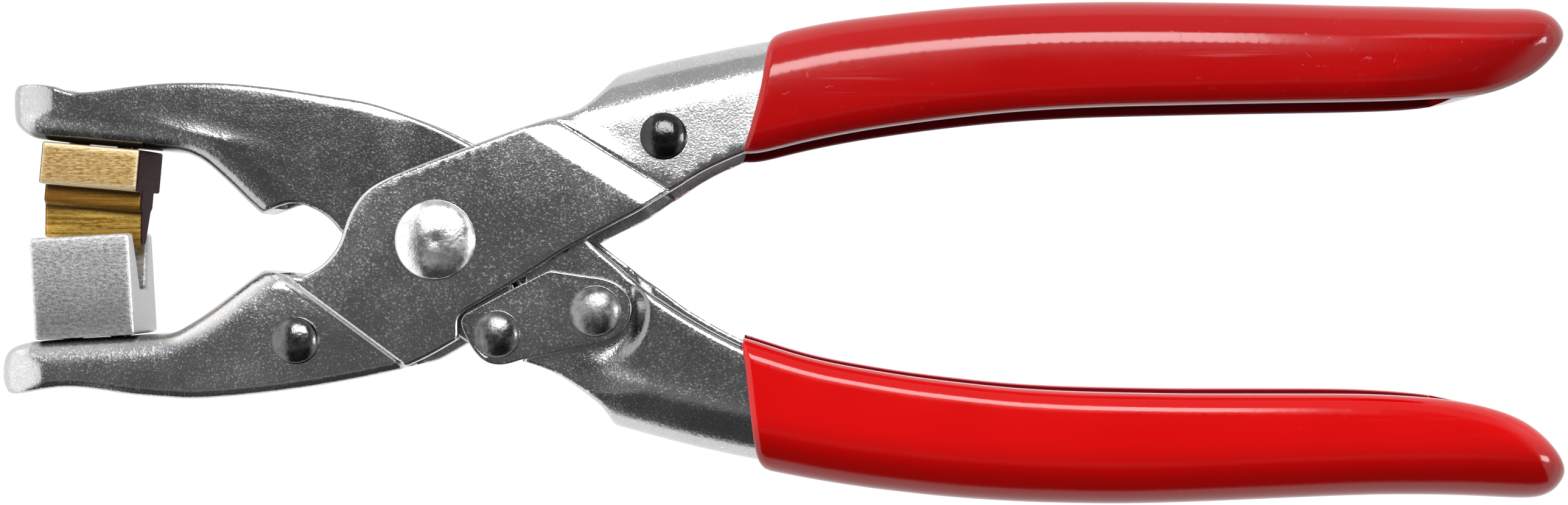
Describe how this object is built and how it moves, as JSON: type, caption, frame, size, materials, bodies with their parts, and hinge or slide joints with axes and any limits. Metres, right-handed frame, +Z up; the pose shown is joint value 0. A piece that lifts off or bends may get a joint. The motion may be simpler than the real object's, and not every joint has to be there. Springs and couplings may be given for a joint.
{
  "type": "ferrule crimping pliers",
  "caption": "Compound-action crimping pliers with stamped steel arms, a grooved lower die, a wedge upper die, a link plate and dipped plastic grips.",
  "frame": {"origin": "under the middle of the tool's footprint, on the surface that it lies on", "axes": "+X from the jaws to the handle ends, +Y from the lower handle to the upper one, +Z up, away from the surface"},
  "size_m": [0.2172, 0.0697, 0.02],
  "materials": {
    "plated_steel": "nickel-plated sheet steel, satin with fine speckle",
    "rivet_bright": "bright plated dome",
    "rivet_dark": "polished dark dome",
    "die_steel": "matt grey, fine cast grain",
    "die_bronze": "golden brown with a fine horizontal grain",
    "inner_steel": "plain turned steel",
    "grip_red": "glossy dipped soft plastic, red",
    "grip_red_deep": "glossy dipped soft plastic, slightly deeper red, scuffed"
  },
  "bodies": {
    "frame": {"frame_arm": "plated_steel", "main_pivot_rivet": "rivet_bright", "main_pivot_bush": "inner_steel", "return_spring": "inner_steel", "fulcrum_pin": "inner_steel", "lower_jaw_rivet": "rivet_dark", "lower_jaw_spacer": "inner_steel", "upper_handle_rivet": "rivet_dark", "upper_handle_spacer": "inner_steel", "upper_grip": "grip_red_deep", "lower_die": "die_steel", "lower_die_screw_1": "rivet_dark", "lower_die_screw_2": "rivet_dark"},
    "jaw": {"upper_jaw_arm": "plated_steel", "upper_die": "die_bronze", "upper_die_screw_1": "rivet_dark", "upper_die_screw_2": "rivet_dark"},
    "handle": {"lower_handle_arm": "plated_steel", "fulcrum_spacer": "inner_steel", "lower_grip": "grip_red"},
    "link": {"link_plate_front": "plated_steel", "link_plate_back": "plated_steel", "link_jaw_rivet": "rivet_dark", "link_jaw_spacer": "inner_steel", "link_handle_rivet": "rivet_bright", "link_handle_spacer": "inner_steel"}
  },
  "joints": [
    {"name": "handle_fulcrum", "type": "hinge", "parent": "frame", "child": "handle", "pos_m": [-0.03148, 0.00204, 0.01], "axis": [0, 0, 1], "range_deg": [0, 9.8], "stiffness_Nm_per_rad": 4, "springref_deg": -8.59},
    {"name": "jaw_pivot", "type": "hinge", "parent": "frame", "child": "jaw", "pos_m": [-0.04735, 0.00171, 0.01], "axis": [0, 0, 1], "range_deg": [0, 7.6]},
    {"name": "link_pivot", "type": "hinge", "parent": "handle", "child": "link", "pos_m": [-0.02535, -0.00804, 0.01], "axis": [0, 0, 1], "range_deg": [-10, 0]}
  ],
  "couplings": [
    {"joint": "jaw_pivot", "follows": "handle_fulcrum", "ratio": 0.7684},
    {"joint": "link_pivot", "follows": "handle_fulcrum", "ratio": -1.0171}
  ]
}
